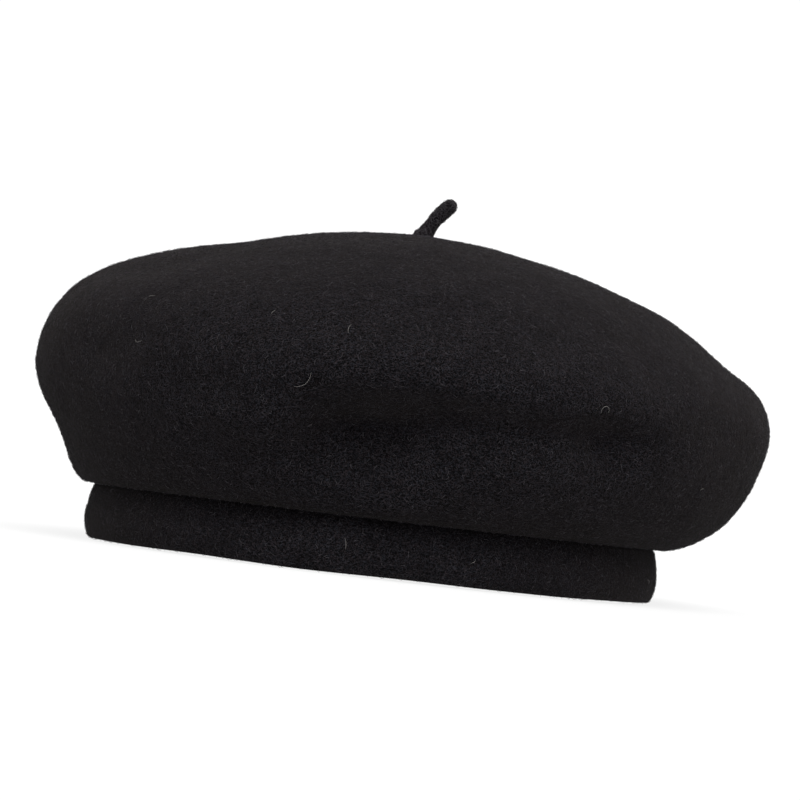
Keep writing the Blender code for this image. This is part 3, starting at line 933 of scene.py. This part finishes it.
# %% Three tones of fibre
def fibre_tone(name, colour):
    return finish(name, {"Base Color": (*colour, 1), "Roughness": 0.8, "Specular IOR Level": 0.05})[0]


soot = fibre_tone("nap_soot", (0.0060, 0.0055, 0.0062))
charcoal = fibre_tone("nap_charcoal", (0.0270, 0.0246, 0.0280))
ash = fibre_tone("nap_ash", (0.056, 0.051, 0.056))
SPARSE, THICK, STALK_THICK = 60000.0, 125000.0, 3.0e6  # fibres to the square metre
FIBRE = {"Length": 0.0017, "Thickness": 0.000036, "Lift": 0.00030, "Curl": 0.00016, "Tilt": 0.28}

# %% Fibres on the crown, the headband and the stalk
crown_naps = [
    grown(name, nap_tree, FIBRE | {"Density": d, "Seed": s, "Facing": -1.0, "Finish": f}, crown_skin)
    for name, d, s, f in (
        ("crown_nap_soot", THICK, 1, soot),
        ("crown_nap_charcoal_a", THICK, 2, charcoal),
        ("crown_nap_charcoal_b", THICK, 3, charcoal),
        ("crown_nap_charcoal_c", THICK, 4, charcoal),
        ("crown_nap_ash", SPARSE, 5, ash),
    )
]
band_naps = [
    grown(name, nap_tree, FIBRE | {"Density": d, "Seed": s, "Facing": 0.0, "Finish": f}, headband)
    for name, d, s, f in (
        ("headband_nap_soot", THICK, 6, soot),
        ("headband_nap_charcoal", 3 * THICK, 7, charcoal),
        ("headband_nap_ash", SPARSE, 8, ash),
    )
]
STALK_FIBRE = FIBRE | {"Length": 0.0016, "Lift": 0.00025, "Curl": 0.0004, "Facing": -1.0}
stalk_nap = grown(
    "stalk_nap", nap_tree, STALK_FIBRE | {"Density": STALK_THICK, "Seed": 9, "Finish": ash}, stalk
)

# %% [markdown]
# ## Stray fibres
# A handful of long pale fibres lie loose on any black felt. They are few enough to place one by
# one: each starts on the skin of the crown or the headband, wanders over it and curls. Finding the
# nearest point of the skin at each step keeps every point of a fibre just clear of the felt.

# %% Stray fibres on the crown and the headband
band_skin = searchable(headband)
chance = np.random.default_rng(31)


STRAY_RADIUS, STRAY_CLEAR, STRAY_ARCH = 0.000038, 0.00022, 0.0003
STRAY_STEPS = 12
LOOSE_ON_CROWN, LOOSE_ON_BAND = 14, 4


def stray_row(tree, start, heading, length, curl):
    """Points of one fibre that wanders over a skin, clear of it by a little."""
    where, normal, _, _ = tree.find_nearest(start)
    ahead = heading - normal * heading.dot(normal)
    row = []
    for step in range(STRAY_STEPS + 1):
        arch = STRAY_ARCH * math.sin(math.pi * step / STRAY_STEPS)
        row.append(where + normal * (STRAY_CLEAR + arch))
        ahead = (Matrix.Rotation(curl / STRAY_STEPS, 3, normal) @ ahead).normalized()
        where, normal, _, _ = tree.find_nearest(where + ahead * (length / STRAY_STEPS))
        ahead = (ahead - normal * ahead.dot(normal)).normalized()
    return row


# Each: start, heading, length and how far it curls. The first two lie on the front, at given places.
crown_rows = [
    stray_row(skin, Vector((-0.0300, -0.13, 0.0600)), Vector((0.1, 0, -1)), 0.0080, -1.6),
    stray_row(skin, Vector((0.0780, -0.13, 0.0450)), Vector((0.6, 0, 0.8)), 0.0060, 4.2),
]
for _ in range(LOOSE_ON_CROWN):
    angle, height = chance.uniform(0, math.tau), chance.uniform(0.03, 0.116)
    start = Vector((0.13 * math.cos(angle), 0.13 * math.sin(angle), height))
    heading = Vector(chance.normal(size=3))
    size, curl = chance.uniform(0.002, 0.004), chance.uniform(-3, 3)
    crown_rows.append(stray_row(skin, start, heading, size, curl))
band_rows = [stray_row(band_skin, Vector((-0.0127, -0.11, 0.0092)), Vector((0.1, 0, 1)), 0.0035, 0.5)]
for _ in range(LOOSE_ON_BAND):
    angle = chance.uniform(0, math.tau)
    start = Vector((0.11 * math.cos(angle), 0.11 * math.sin(angle), chance.uniform(0.005, 0.013)))
    size, curl = chance.uniform(0.002, 0.005), chance.uniform(-2, 2)
    band_rows.append(stray_row(band_skin, start, Vector(chance.normal(size=3)), size, curl))
stray_ends = [0.4 + 0.6 * math.sin(math.pi * step / STRAY_STEPS) for step in range(STRAY_STEPS + 1)]
pale = fibre_tone("nap_pale", (0.22, 0.21, 0.20))
crown_strays = tube("crown_stray_fibres", crown_rows, STRAY_RADIUS, pale, ends=stray_ends)
band_strays = tube("headband_stray_fibres", band_rows, STRAY_RADIUS, pale, ends=stray_ends)
print("strays:", len(crown_rows), "on the crown,", len(band_rows), "on the headband")
bpy.data.objects.remove(crown_skin, do_unlink=True)

# %% [markdown]
# ## Joining the pieces to the model
# The felt crown is sewn to the headband and slouches over it, and the stalk grows out of the
# crown; they, the lining and the fibres on them stay where they are made. The rest is sewn fast
# and moves with a body of the model. The rest is sewn fast and simply rides.

# %% Which body each piece moves with; the crown and the stalk stay in place
BEND_LOW, BEND_HIGH = (0.0, 0.0, CREASE_HEIGHT + 0.0006), (0.0, 0.0, EDGE_HEIGHT)

for piece in (crown, lining_tip, lining_side, piping, crown_strays, *crown_naps):
    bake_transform(piece)
    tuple(BEND_LOW)
    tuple(BEND_HIGH)
for piece in (stalk, stalk_nap):
    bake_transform(piece)
for piece in (headband, sweatband, sweatband_stitches, seam_stitches, band_strays, *band_naps):
    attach(piece, "headband")
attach(knot, "crown")
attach(size_tab, "size_tab")

# %% What each piece stands for and its finish; the part that it stands for is hidden
STANDS_FOR = [
    (crown, "felt_crown", "felt"),
    (headband, "headband", "felt"),
    (stalk, "stalk", "felt"),
    (knot, "stalk_knot", "felt"),
    (lining_tip, "lining_tip", "lining"),
    (lining_side, "lining_side", "lining"),
    (piping, "lining_piping", "lining"),
    (sweatband, "sweatband", "sweatband"),
    (sweatband_stitches, "sweatband_thread", "thread"),
    (seam_stitches, "crown_seam_thread", "thread"),
    (size_tab, "size_tab", "size_tab"),
]
for piece, node, slot in STANDS_FOR:
    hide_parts(node)

# %% [markdown]
# ## Floor, light and camera
# A black object needs a bright room: a white sky lights it from every side, a wide soft lamp
# overhead makes its top a little lighter than its foot, and a pale floor gives some light back.
# A long lens keeps the oval from looking stretched. The camera is rolled a few degrees, as when a
# hat is held up and seen a little askew.

# %% Floor and light
# The floor is a sheet of white acrylic, lit a little from below so that shadows stay pale.
FLOOR_PALE, FLOOR_GLOW, FLOOR_HEIGHT = 0.12, 0.82, -0.0004
ROOM_LIGHT, LAMP_LIGHT, LAMP_SPREAD = 1.05, 4.1, math.radians(38)
LAMP_TURN = (math.radians(44), math.radians(11), 0)
floor_finish, _, _ = finish(
    "pale_floor",
    {"Base Color": (FLOOR_PALE,) * 3 + (1,), "Roughness": 0.9, "Specular IOR Level": 0.0,
     "Emission Color": (1, 1, 1, 1), "Emission Strength": FLOOR_GLOW},
)
bpy.ops.mesh.primitive_plane_add(size=12, location=(0, 0, FLOOR_HEIGHT))
floor = bpy.context.object
floor.name = "floor"
floor.data.materials.append(floor_finish)
floor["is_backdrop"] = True

world = bpy.data.worlds.new("white_room")
world.use_nodes = True
world.node_tree.nodes["Background"].inputs["Color"].default_value = (1, 1, 1, 1)
world.node_tree.nodes["Background"].inputs["Strength"].default_value = ROOM_LIGHT
bpy.context.scene.world = world
lamp = bpy.data.lights.new("soft_lamp", "SUN")
lamp.energy = LAMP_LIGHT
lamp.angle = LAMP_SPREAD
placed("soft_lamp", lamp).rotation_euler = LAMP_TURN
bpy.context.scene.view_settings.view_transform = "Standard"

# %% Camera
DISTANCE, RISE, ROLL = 1.043, math.radians(-1.8), math.radians(6.8)
AIM = Vector((-0.0005, 0.0, 0.0598))
camera = bpy.data.cameras.new("camera")
camera.lens = 135
camera_object = placed("camera", camera)
back = Vector((0, -math.cos(RISE), math.sin(RISE)))
right, up = Vector((1, 0, 0)), Vector((0, math.sin(RISE), math.cos(RISE)))
rolled_right = right * math.cos(ROLL) + up * math.sin(ROLL)
rolled_up = up * math.cos(ROLL) - right * math.sin(ROLL)
turned = Matrix((rolled_right, rolled_up, back)).transposed().to_4x4()
camera_object.matrix_world = Matrix.Translation(AIM + back * DISTANCE) @ turned
bpy.context.scene.camera = camera_object

# %% The model's size against the frame's
sizes = {"cad": [list(corner) for corner in cad_box]}
sizes["visual"] = [list(corner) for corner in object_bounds()]
print("frame:", sizes["cad"], "model:", sizes["visual"])
